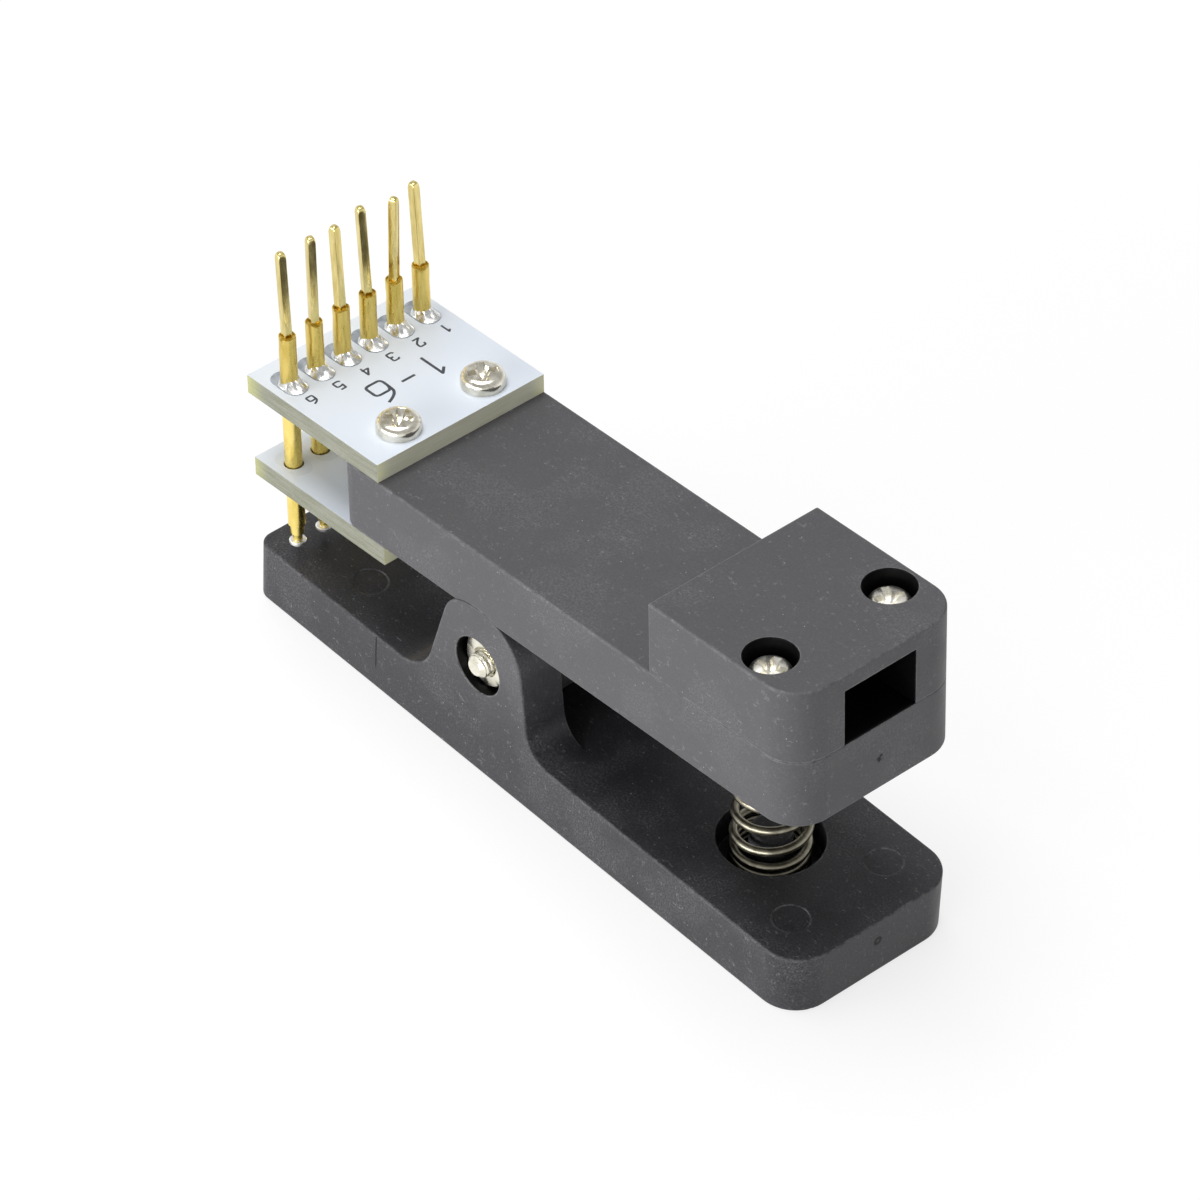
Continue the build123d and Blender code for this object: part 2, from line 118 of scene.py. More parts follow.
# Square posts, in the order of the probes
post_width = 0.64
post_grip = 2.0
post_tip_length = 0.5
post_tip_width = 0.4
post_corner = 0.045
post_rises = (7.25, 7.55, 7.1, 7.5, 7.45, 7.2)
post_leans = (-2.0, 0.3, -2.2, -2.8, 2.4, -3.0)
post_twists = (-10.0, -17.0, 6.0, -15.0, 28.0, 4.0)

# Screws, all 2 mm across, and the nut
screw_radius = 1.0
thread_pitch = 0.4
thread_depth = 0.13
board_head_radius = 1.7
board_head_height = 1.15
board_screw_length = 4.0
cover_head_radius = 1.6
cover_head_height = 1.35
cover_screw_length = 8.0
pivot_head_radius = 1.95
pivot_head_height = 1.5
pivot_screw_length = 14.0
board_screw_reach = 12.75
board_screw_side = 4.025
cover_screw_reach = 28.6
cover_screw_side = 5.6
cover_seat = 14.65
pivot_seat = 5.7
nut_flat = 2.0
nut_thickness = 1.6

# Hollows of the mouldings, which are smoother than their outsides and painted nearly black as painted
# shade
cover_start = 18.65
tunnel_half_width = 3.35
tunnel_floor = 10.65
tunnel_roof = 15.45
cover_pocket_radius = 2.0
pivot_pocket_radius = 2.4

# How far the painted shade of a hollow goes into its walls, and how far it keeps from the hollow's
# mouth
flat_wall_margin = 0.01
round_wall_margin = 0.02
floor_margin = 0.05
tunnel_mouth_margin = 0.05
pocket_mouth_margin = 0.12

# Marks of the moulds: a parting line on the lower arm's side, and a gate mark in each arm's end
arm_end = 34.1
parting_line = -15.79
parting_line_foot = 1.95
lower_gate_middle = (0.1, 3.1)
lower_gate_radius = 0.25
upper_gate_middle = (0.0, 7.6)

# Return spring
spring_radius = 2.71
spring_wire = 0.34
spring_closed_pitch = 0.68
spring_open_pitch = 2.05
spring_closed_turns = 2.85
spring_last_turns = 2.0
spring_pitch_change = 0.6
spring_start_angle = 119

# The printed marks
print_thickness = 0.02
title_reach = -16.9
title_side = 0.4
title_height = 2.5
title_line = 0.24
number_reach = -19.65
number_height = 0.95
number_line = 0.17


def joint_named(name):
    return next(joint for joint in frame["joints"] if joint["name"] == name)


pivot = Vector(joint_named("jaw_pivot")["pos_m"])
out_of_arm = Vector(joint_named("plunger_1_slide")["axis"])
across_arm = Vector((0, 1, 0))
along_arm = across_arm.cross(out_of_arm)
arm_tilt = atan2(along_arm.z, along_arm.x)
probe_rows = [(n - (probe_count - 1) / 2) * probe_pitch for n in range(probe_count)]
spring_low, spring_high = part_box("return_spring")
spring_middle = (spring_low + spring_high) / 2
base_low, base_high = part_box("lower_arm")


def place(origin, x_axis, z_axis):
    """Matrix that takes a shape in millimetres to a place in metres."""
    x_axis = Vector(x_axis)
    z_axis = Vector(z_axis)
    turned = Matrix((x_axis, z_axis.cross(x_axis), z_axis)).transposed()
    return Matrix.Translation(origin) @ (turned * mm).to_4x4()


def on_arm(reach, side, height, facing=1):
    """Place on the upper arm, with its Z axis out of the arm, or into it where facing is -1."""
    origin = pivot + (along_arm * reach + across_arm * side + out_of_arm * height) * mm
    return place(origin, along_arm, out_of_arm * facing)


# Shapes

def skin(form, rings, closed=False):
    """Joins rings of points into a surface. A ring of one point is a tip."""
    rows = [[form.verts.new(point) for point in ring] for ring in rings]
    following = rows[1:] + rows[:1] if closed else rows[1:]
    for row, after in zip(rows, following):
        count = max(len(row), len(after))
        for step in range(count):
            turn = (step + 1) % count
            corners = (
                row[step % len(row)],
                row[turn % len(row)],
                after[turn % len(after)],
                after[step % len(after)],
            )
            form.faces.new(dict.fromkeys(corners))


def ring(steps, radius, height):
    """Points round the Z axis. The radius and height may be functions of the angle."""
    points = []
    for step in range(steps):
        angle = tau * step / steps
        r = radius(angle) if callable(radius) else radius
        z = height(angle) if callable(height) else height
        points.append((r * cos(angle), r * sin(angle), z))
    return points


def lathe(outline):
    """Rings of an outline of radius and height points."""
    steps = 64
    return [ring(steps, r, z) if r else [(0, 0, z)] for r, z in outline]


def mesh_of(rings, closed=False):
    """A mesh of rings, whose last ring joins the first where it is closed."""
    form = bmesh.new()
    skin(form, rings, closed)
    bmesh.ops.recalc_face_normals(form, faces=form.faces)
    mesh = bpy.data.meshes.new("shape")
    form.to_mesh(mesh)
    form.free()
    return mesh


def cut(mesh, tool):
    """The mesh with the tool's solid cut out of it."""
    body = bpy.data.objects.new("cut_body", mesh)
    cutter = bpy.data.objects.new("cut_tool", tool)
    for item in (body, cutter):
        bpy.context.scene.collection.objects.link(item)
    difference = body.modifiers.new("cut", "BOOLEAN")
    difference.operation = "DIFFERENCE"
    difference.solver = "EXACT"
    difference.object = cutter
    bpy.context.view_layer.update()
    finished = body.evaluated_get(bpy.context.evaluated_depsgraph_get())
    result = bpy.data.meshes.new_from_object(finished)
    for item in (body, cutter):
        bpy.data.objects.remove(item)
    return result


def add_piece(name, shapes, look, body=None, node=None, sharp=35):
    """Joins shapes, each a mesh in millimetres with its place, into one piece.

    The piece rides on the body and stands for the node. Edges that turn by more than the
    sharp angle, in degrees, aren't smoothed.
    """
    form = bmesh.new()
    for mesh, where in shapes:
        known = len(form.verts)
        form.from_mesh(mesh)
        form.verts.ensure_lookup_table()
        bmesh.ops.transform(form, matrix=where, verts=form.verts[known:])
    joined = bpy.data.meshes.new(name)
    form.to_mesh(joined)
    form.free()
    joined.shade_smooth()
    joined.set_sharp_from_angle(angle=radians(sharp))
    joined.materials.clear()
    joined.materials.append(look)
    for polygon in joined.polygons:
        polygon.material_index = 0
    piece = bpy.data.objects.new(name, joined)
    bpy.context.scene.collection.objects.link(piece)
    if node:
        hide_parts(node)
    if body:
        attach(piece, body)
    return piece


def cross_ring(reach, half_width, corner, height):
    """Outline of a cross with cut inner corners."""
    points = []
    for quarter in range(4):
        c, s = cos(quarter * pi / 2), sin(quarter * pi / 2)
        for x, y in (
            (reach, -half_width),
            (reach, half_width),
            (half_width + corner, half_width),
            (half_width, half_width + corner),
        ):
            points.append((c * x - s * y, s * x + c * y, height))
    return points


def thread_rings(bottom, top):
    """Rings of a screw thread, from its chamfered end up."""
    end_chamfer = 0.35
    flank_gain = 1.35
    levels_per_turn = 8
    steps = 32
    rings = [[(0, 0, bottom)]]
    count = int((top - bottom) / thread_pitch * levels_per_turn)
    for level in range(count + 1):
        height = bottom + (top - bottom) * level / count

        def thread_radius(angle, height=height):
            phase = (height / thread_pitch - angle / tau) % 1
            flank = min(1, flank_gain * (1 - abs(2 * phase - 1)))
            full = screw_radius - thread_depth * (1 - flank)
            return min(full, screw_radius - end_chamfer + (height - bottom))

        rings.append(ring(steps, thread_radius, height))
    return rings + [[(0, 0, top)]]


def screw(head_radius, head_height, length, turn, recess_reach=1.2):
    """Head and shank of a pan-headed screw with a tapered cross recess. Its seat is at height 0."""
    edge = 0.06
    rim = 0.42 * head_height
    crown = 0.93 * head_height
    shoulder = 0.34 * head_radius
    top_radius = 0.35 * head_radius
    top_edge = 0.98 * head_height
    outline = [(0, 0), (head_radius - edge, 0), (head_radius, edge), (head_radius, rim)]
    arc_steps = 8
    for step in range(1, arc_steps + 1):
        angle = pi / 2 * step / arc_steps
        inset = shoulder * (1 - cos(angle))
        outline.append((head_radius - inset, rim + (crown - rim) * sin(angle)))
    outline += [(top_radius, top_edge), (0, head_height)]

    # For each ring of the recess: height over the head, share of the reach, half width and corner
    recess_levels = ((0.1, 1.0, 0.36, 0.22), (-0.12, 0.93, 0.3, 0.2), (-0.62, 0.45, 0.15, 0.1))
    recess_bottom = -0.8
    rings = [[(0, 0, head_height + recess_levels[0][0])]]
    for level, share, half_width, corner in recess_levels:
        rings.append(cross_ring(recess_reach * share, half_width, corner, head_height + level))
    rings.append([(0, 0, head_height + recess_bottom)])
    recess = mesh_of(rings)
    recess.transform(Matrix.Rotation(radians(turn), 4, "Z"))
    return [cut(mesh_of(lathe(outline)), recess), mesh_of(thread_rings(-length, 0))]


# Materials

class Look:
    """The nodes of a material or a world, each added with its inputs in one call."""

    def __init__(self, owner):
        self.owner = owner
        self.owner.use_nodes = True
        self.tree = owner.node_tree
        self.tree.nodes.clear()

    def add(self, kind, inputs=None, **settings):
        node = self.tree.nodes.new("ShaderNode" + kind)
        for setting, value in settings.items():
            setattr(node, setting, value)
        for key, value in (inputs or {}).items():
            if isinstance(value, bpy.types.NodeSocket):
                self.tree.links.new(value, node.inputs[key])
            else:
                node.inputs[key].default_value = value
        return node

    def vector(self, operation, inputs):
        return self.add("VectorMath", inputs, operation=operation).outputs

    def math(self, operation, first, second=0.0):
        return self.add("Math", {0: first, 1: second}, operation=operation).outputs[0]

    def plus(self, first, second):
        return self.math("ADD", first, second)

    def times(self, first, second):
        return self.math("MULTIPLY", first, second)

    def off(self, value, middle):
        """How far a value is from the middle, on either side."""
        return self.math("ABSOLUTE", self.math("SUBTRACT", value, middle))

    def millimetres(self):
        """Place on the object as it was built, in millimetres."""
        where = self.add("TexCoord").outputs["Object"]
        return self.vector("SCALE", {0: where, "Scale": 1 / mm})[0]

    def arm_place(self):
        """Place along, across and out of the upper arm, from the pivot, in millimetres."""
        where = self.add("TexCoord").outputs["Object"]
        moved = self.vector("SUBTRACT", {0: where, 1: pivot})[0]
        scaled = self.vector("SCALE", {0: moved, "Scale": 1 / mm})[0]
        turned = self.add(
            "VectorRotate", {"Vector": scaled, "Angle": arm_tilt}, rotation_type="Y_AXIS"
        )
        return turned.outputs[0]

    def facing(self, direction):
        """1 where the surface faces that way, and -1 where it faces away."""
        normal = self.add("TexCoord").outputs["Normal"]
        return self.vector("DOT_PRODUCT", {0: normal, 1: direction})["Value"]

    def parts(self, where):
        return self.add("SeparateXYZ", {0: where}).outputs

    def stretched(self, where, scales):
        return self.vector("MULTIPLY", {0: where, 1: scales})[0]

    def noise(self, where, scale, detail=3.0, roughness=0.5, distortion=0.0):
        inputs = {
            "Vector": where,
            "Scale": scale,
            "Detail": detail,
            "Roughness": roughness,
            "Distortion": distortion,
        }
        return self.add("TexNoise", inputs).outputs[0]

    def ramp(self, value, low, high, to_low=0.0, to_high=1.0):
        """Takes low to to_low and high to to_high, smoothly and no further."""
        inputs = {
            "Value": value,
            "From Min": low,
            "From Max": high,
            "To Min": to_low,
            "To Max": to_high,
        }
        return self.add("MapRange", inputs, interpolation_type="SMOOTHSTEP").outputs[0]

    def all_of(self, *masks):
        """1 where every mask is 1."""
        result = masks[0]
        for mask in masks[1:]:
            result = self.times(result, mask)
        return result

    def any_of(self, *masks):
        """1 where one of the masks is 1."""
        result = masks[0]
        for mask in masks[1:]:
            result = self.math("MAXIMUM", result, mask)
        return result

    def from_axis(self, first, second, first_middle, second_middle):
        """Distance from an axis, given two coordinates square to it."""
        way = self.add(
            "CombineXYZ",
            {
                0: self.math("SUBTRACT", first, first_middle),
                1: self.math("SUBTRACT", second, second_middle),
            },
        )
        return self.vector("LENGTH", {0: way.outputs[0]})["Value"]

    def mix(self, factor, first, second):
        """Colour between the first, where the factor is 0, and the second."""
        return self.add("Mix", {0: factor, 6: first, 7: second}, data_type="RGBA").outputs[2]

    def paint(self, colour, mask, share, over):
        """The colour with that share of another over it, where the mask is 1."""
        return self.mix(self.times(mask, share), colour, over)

    def bump(self, height, distance, strength=1.0, normal=None):
        """Normal of a surface that rises by the distance, in millimetres, where the height is 1."""
        inputs = {"Height": height, "Distance": distance * mm, "Strength": strength}
        if normal:
            inputs["Normal"] = normal
        return self.add("Bump", inputs).outputs[0]

    def finish(self, **inputs):
        """Joins a Principled shader with these inputs to the output."""
        named = {key.replace("_", " "): value for key, value in inputs.items()}
        shader = self.add("BsdfPrincipled", named)
        self.add("OutputMaterial", {"Surface": shader.outputs[0]})
        return self.owner


def grey(value):
    return (value, value, value, 1)


def upper_hollows(look):
    """1 in the cable tunnel and in the screw pockets of the cover, with their walls, where the
    plastic is painted nearly black as painted shade.
    """
    along, across, out = look.parts(look.arm_place())
    side = look.math("ABSOLUTE", across)
    tunnel = look.all_of(
        look.math("LESS_THAN", side, tunnel_half_width + flat_wall_margin),
        look.math("GREATER_THAN", along, cover_start + tunnel_mouth_margin),
        look.math("GREATER_THAN", out, tunnel_floor - floor_margin),
        look.math("LESS_THAN", out, tunnel_roof + flat_wall_margin),
    )
    from_pocket = look.from_axis(along, side, cover_screw_reach, cover_screw_side)
    pocket = look.all_of(
        look.math("LESS_THAN", from_pocket, cover_pocket_radius + round_wall_margin),
        look.math("GREATER_THAN", out, cover_seat - floor_margin),
    )
    return look.any_of(tunnel, pocket)


def lower_hollows(look):
    """1 in the pockets of the pivot's nut and head, but not on the faces that they open in, where the
    plastic is painted nearly black as painted shade.
    """
    x, y, z = look.parts(look.millimetres())
    from_pivot = look.from_axis(x, z, pivot.x / mm, pivot.z / mm)
    return look.all_of(
        look.math("LESS_THAN", from_pivot, pivot_pocket_radius + round_wall_margin),
        look.math("LESS_THAN", look.math("ABSOLUTE", y), base_high.y / mm - pocket_mouth_margin),
    )


def lower_marks(look):
    """1 on the mould's parting line in the near side and on the gate mark in the end."""
    line_core = 0.04
    line_edge = 0.10
    line_wander = 0.1
    foot_fade = 0.25
    side_depth = 0.02
    gate_core = 0.09
    gate_edge = 0.18
    end_depth = 0.05
    x, y, z = look.parts(look.millimetres())
    wander = look.times(look.noise(look.millimetres(), 0.6), line_wander)
    from_line = look.off(look.plus(x, -parting_line), wander)
    line = look.all_of(
        look.ramp(from_line, line_core, line_edge, 1, 0),
        look.math("LESS_THAN", y, base_low.y / mm + side_depth),
        look.ramp(z, parting_line_foot - foot_fade, parting_line_foot + foot_fade),
    )
    from_gate = look.off(look.from_axis(y, z, *lower_gate_middle), lower_gate_radius)
    gate = look.all_of(
        look.ramp(from_gate, gate_core, gate_edge, 1, 0),
        look.math("GREATER_THAN", x, base_high.x / mm - end_depth),
    )
    return look.any_of(line, gate)


def upper_marks(look):
    """1 on the rough spot where the upper arm's gate was cut off."""
    spot_core = 0.55
    spot_edge = 0.85
    raggedness = 0.9
    end_depth = 0.5
    along, across, out = look.parts(look.arm_place())
    ragged = look.times(look.noise(look.millimetres(), 3.0, detail=4), raggedness)
    distance = look.plus(look.from_axis(across, out, *upper_gate_middle), ragged)
    return look.all_of(
        look.ramp(distance, spot_core, spot_edge, 1, 0),
        look.math("GREATER_THAN", along, arm_end - end_depth),
    )


def black_plastic(name, dark, light, roughness, specular, shaded_hollows, marks, painted_light_height):
    """Moulded black plastic with a fine grain, pale specks, scuffs, and pale edges that are partly
    wear and partly a painted highlight.

    It is painted paler with height, up to the height given in millimetres, as painted light that
    grows away from the floor.
    Its hollows are painted nearly black as painted shade, its marks are nearly black, and both are
    partly metallic so that they reflect little.
    """
    look = Look(bpy.data.materials.new(name))
    where = look.millimetres()
    mottle = look.noise(where, 0.35, detail=6, roughness=0.65)
    grain = look.noise(where, 6.0, detail=5, roughness=0.7)
    pale_edge_width = 0.22

    cells = look.add("TexVoronoi", {"Vector": where, "Scale": 1.5}).outputs
    cell_number = look.add("SeparateColor", {0: cells["Color"]}).outputs[0]
    speck = look.all_of(
        look.ramp(cell_number, 0.72, 0.76), look.ramp(cells["Distance"], 0.04, 0.085, 1, 0)
    )
    scuff_field = look.noise(look.stretched(where, (1.1, 1.7, 1.4)), 1.3, detail=6, roughness=0.7)
    scuffs = look.all_of(look.ramp(scuff_field, 0.56, 0.68), look.ramp(grain, 0.42, 0.62))
    smear_field = look.noise(where, 0.16, detail=4)
    smear = look.all_of(look.ramp(smear_field, 0.5, 0.62), look.ramp(grain, 0.4, 0.7))
    drawn = look.stretched(where, (0.35, 5.0, 3.0))
    scratch_field = look.noise(drawn, 0.9, detail=2, distortion=0.3)
    scratch = look.all_of(
        look.ramp(look.off(scratch_field, 0.5), 0.0, 0.006, 1, 0),
        look.ramp(look.noise(where, 0.4), 0.55, 0.62),
    )
    rounded = look.add("Bevel", {"Radius": pale_edge_width * mm}, samples=4).outputs[0]
    plain = look.add("NewGeometry").outputs["Normal"]
    flatness = look.vector("DOT_PRODUCT", {0: rounded, 1: plain})["Value"]
    # Edges painted pale: partly rubbed wear, partly a painted highlight of their rounding
    edge = look.all_of(
        look.ramp(flatness, 0.995, 0.90),
        look.ramp(look.noise(where, 1.7, detail=5), 0.35, 0.65, 0.1, 1.0),
    )

    hollow_shade = shaded_hollows(look)
    marked = marks(look)
    outside = look.math("SUBTRACT", 1.0, hollow_shade)

    # Painted light: the plastic grows paler with height, standing in for light that grows away from
    # the floor
    painted_height_light = look.ramp(look.parts(where)[2], painted_light_height / 4, painted_light_height)
    tone = look.plus(look.times(look.ramp(mottle, 0.3, 0.7), 0.2), look.times(painted_height_light, 0.8))
    colour = look.mix(tone, dark, light)
    colour = look.paint(colour, look.ramp(grain, 0.35, 0.75), 0.35, grey(0.12))
    colour = look.paint(colour, smear, 0.3, (0.19, 0.19, 0.2, 1))
    colour = look.paint(colour, scuffs, 0.72, (0.22, 0.22, 0.23, 1))
    colour = look.paint(colour, scratch, 0.35, grey(0.24))
    colour = look.paint(colour, edge, 0.8, (0.30, 0.30, 0.305, 1))
    colour = look.paint(colour, speck, 0.8, (0.42, 0.43, 0.46, 1))
    # Painted shade: the hollows are painted nearly black
    colour = look.paint(colour, hollow_shade, 0.95, (0.004, 0.004, 0.005, 1))
    colour = look.paint(colour, marked, 0.9, grey(0.008))

    mottled_roughness = look.ramp(mottle, 0.3, 0.7, roughness - 0.04, roughness + 0.06)
    height = look.plus(look.times(grain, 0.6), look.times(mottle, 0.4))
    return look.finish(
        Base_Color=colour,
        Metallic=look.times(look.any_of(hollow_shade, marked), 0.85),
        Roughness=look.plus(mottled_roughness, look.times(scuffs, 0.15)),
        IOR=1.5,
        Specular_IOR_Level=specular,
        Normal=look.bump(look.times(height, outside), 0.02, strength=0.5, normal=rounded),
    )


def circuit_board():
    """White solder mask on the faces, and pale laminate with its glass layers on the edges.

    The laminate is yellower at its end by the probes and on its sawn end by the arm.
    """
    look = Look(bpy.data.materials.new("circuit_board"))
    where = look.arm_place()
    along, across, out = look.parts(where)
    on_face = look.ramp(look.math("ABSOLUTE", look.facing(out_of_arm)), 0.5, 0.8)
    on_sawn_end = look.ramp(look.facing(along_arm), 0.5, 0.8)

    from_row = look.math("ABSOLUTE", look.plus(along, probe_reach))
    past_flat = look.math("MAXIMUM", look.math("SUBTRACT", from_row, pad_flat), 0.0)
    from_probe = look.math("PINGPONG", look.plus(across, probe_pitch / 2), probe_pitch / 2)
    from_pad = look.from_axis(past_flat, from_probe, 0.0, 0.0)
    under_pad = look.ramp(from_pad, pad_radius - 0.02, pad_radius + 0.02, 0.2, 0.0)
    cloud = look.noise(where, 0.25, detail=3)
    mask = look.mix(cloud, (0.80, 0.865, 0.965, 1), (0.83, 0.89, 0.975, 1))
    mask = look.mix(under_pad, mask, (0.55, 0.58, 0.62, 1))

    layers = look.noise(look.stretched(where, (0.35, 0.35, 5.5)), 1.0, detail=5, roughness=0.6)
    weave = look.noise(look.stretched(where, (5.0, 5.0, 9.0)), 1.0, detail=3)
    by_probes = look.ramp(along, -26.0, -23.0, 0.85, 0.0)
    by_corner = look.ramp(look.math("ABSOLUTE", across), 6.5, 8.0)
    side = look.mix(look.ramp(layers, 0.3, 0.7), (0.19, 0.195, 0.14, 1), (0.27, 0.275, 0.22, 1))
    side = look.mix(look.ramp(weave, 0.5, 0.75, 0.0, 0.4), side, (0.36, 0.36, 0.32, 1))
    side = look.mix(by_probes, side, (0.52, 0.53, 0.20, 1))
    sawn = look.mix(by_corner, (0.66, 0.66, 0.50, 1), (0.88, 0.88, 0.52, 1))
    sawn = look.mix(look.ramp(layers, 0.3, 0.7, 0.0, 0.5), sawn, (0.80, 0.80, 0.68, 1))
    laminate = look.mix(on_sawn_end, side, sawn)
    height = look.plus(look.times(weave, 0.7), look.noise(where, 2.0))
    return look.finish(
        Base_Color=look.mix(on_face, laminate, mask),
        Roughness=look.math("SUBTRACT", 0.6, look.times(on_face, 0.27)),
        IOR=1.5,
        Normal=look.bump(height, 0.012, strength=0.4),
    )


def metal(name, dark, light, roughness, blotch=1.2, dents=0.01, stretch=(1, 1, 1), tint=None):
    """Metal whose colour and polish drift over the surface, with faint dents.

    The roughness is a lowest and a highest value. A tint is a colour, and the height out of
    the arm beyond which it is laid over the metal.
    """
    look = Look(bpy.data.materials.new(name))
    where = look.arm_place()
    drawn = look.stretched(where, stretch)
    drift = look.noise(drawn, blotch, detail=4, roughness=0.6, distortion=0.4)
    fine = look.noise(drawn, blotch * 7, detail=3)
    colour = look.mix(look.ramp(drift, 0.32, 0.68), dark, light)
    if tint:
        tint_colour, tint_start = tint
        tinted = look.math("GREATER_THAN", look.parts(where)[2], tint_start)
        shaded = look.vector("MULTIPLY", {0: colour, 1: tint_colour})[0]
        colour = look.mix(tinted, colour, shaded)
    wear = look.plus(drift, look.times(fine, 0.4))
    return look.finish(
        Base_Color=colour,
        Metallic=1.0,
        Roughness=look.ramp(wear, 0.45, 0.95, *roughness),
        Normal=look.bump(look.plus(drift, look.times(fine, 0.3)), dents, strength=0.6),
    )


def printed_ink():
    """Dark ink, worn thin in places."""
    look = Look(bpy.data.materials.new("printed_ink"))
    worn = look.noise(look.millimetres(), 6.0, detail=4)
    thin = look.ramp(worn, 0.4, 0.75)
    return look.finish(
        Base_Color=look.mix(thin, (0.035, 0.04, 0.055, 1), (0.10, 0.11, 0.13, 1)),
        Roughness=look.ramp(worn, 0.3, 0.7, 0.55, 0.7),
        Normal=look.bump(worn, 0.005, strength=0.5),
    )


upper_look = black_plastic(
    "upper_plastic",
    dark=(0.040, 0.039, 0.043, 1),
    light=(0.066, 0.064, 0.071, 1),
    roughness=0.5,
    specular=0.5,
    shaded_hollows=upper_hollows,
    marks=upper_marks,
    painted_light_height=16,
)
# The lower plastic's darker low end is painted shade near the floor
lower_look = black_plastic(
    "lower_plastic",
    dark=(0.015, 0.015, 0.020, 1),
    light=(0.070, 0.068, 0.075, 1),
    roughness=0.42,
    specular=0.36,
    shaded_hollows=lower_hollows,
    marks=lower_marks,
    painted_light_height=13,
)
board_look = circuit_board()
drawn_along = (1.6, 1.6, 0.35)
# Painted highlight: the sleeves' gold is set near full brightness, as it shows between the boards;
# above the top board the tint darkens it to a plainer gold, a shaded copy of the same gold
sleeve_look = metal(
    "gold_sleeve",
    dark=(0.84, 0.64, 0.16, 1),
    light=(1.0, 0.80, 0.26, 1),
    roughness=(0.22, 0.36),
    stretch=drawn_along,
    tint=((0.77, 0.75, 0.70), top_face),
)
post_look = metal(
    "gold_post",
    dark=(0.62, 0.50, 0.18, 1),
    light=(0.82, 0.69, 0.30, 1),
    roughness=(0.12, 0.24),
    dents=0.006,
    stretch=drawn_along,
)
plunger_look = metal(
    "plunger_plate",
    dark=(0.80, 0.78, 0.73, 1),
    light=(0.96, 0.95, 0.92, 1),
    roughness=(0.3, 0.45),
    tint=((0.95, 0.76, 0.22), head_top),
)
screw_look = metal(
    "screw_nickel",
    dark=(0.58, 0.55, 0.46, 1),
    light=(0.80, 0.77, 0.68, 1),
    roughness=(0.12, 0.26),
    dents=0.02,
)
bright_screw_look = metal(
    "bright_nickel",
    dark=(0.80, 0.77, 0.67, 1),
    light=(0.96, 0.94, 0.87, 1),
    roughness=(0.25, 0.4),
    dents=0.03,
)
nut_look = metal(
    "nut_nickel",
    dark=(0.78, 0.75, 0.62, 1),
    light=(0.93, 0.90, 0.79, 1),
    roughness=(0.24, 0.38),
    dents=0.015,
)
spring_look = metal(
    "spring_wire",
    dark=(0.20, 0.185, 0.14, 1),
    light=(0.34, 0.32, 0.25, 1),
    roughness=(0.28, 0.4),
)
pad_look = metal(
    "pad_tin",
    dark=(0.28, 0.31, 0.34, 1),
    light=(0.44, 0.47, 0.50, 1),
    roughness=(0.35, 0.55),
)
solder_look = metal(
    "solder",
    dark=(0.60, 0.61, 0.60, 1),
    light=(0.86, 0.86, 0.84, 1),
    roughness=(0.18, 0.34),
    blotch=2.0,
    dents=0.03,
)
ink_look = printed_ink()

node_looks = {
    "lower_arm": lower_look,
    "upper_arm": upper_look,
    "cable_cover": upper_look,
    "top_board": board_look,
    "lower_board": board_look,
}
for number in range(1, probe_count + 1):
    node_looks[f"probe_barrel_{number}"] = sleeve_look
    node_looks[f"probe_plunger_{number}"] = plunger_look
    node_looks[f"probe_spring_{number}"] = spring_look
for name, look in node_looks.items():
    for slot in frame["nodes"][name].material_slots:
        slot.material = look

# Sleeves and posts


def bell(distance, width):
    """1 in the middle, and next to nothing beyond twice the width."""
    return exp(-((distance / width) ** 2))


def turn_between(first, second):
    """The smaller angle between two directions."""
    return abs((first - second + pi) % tau - pi)


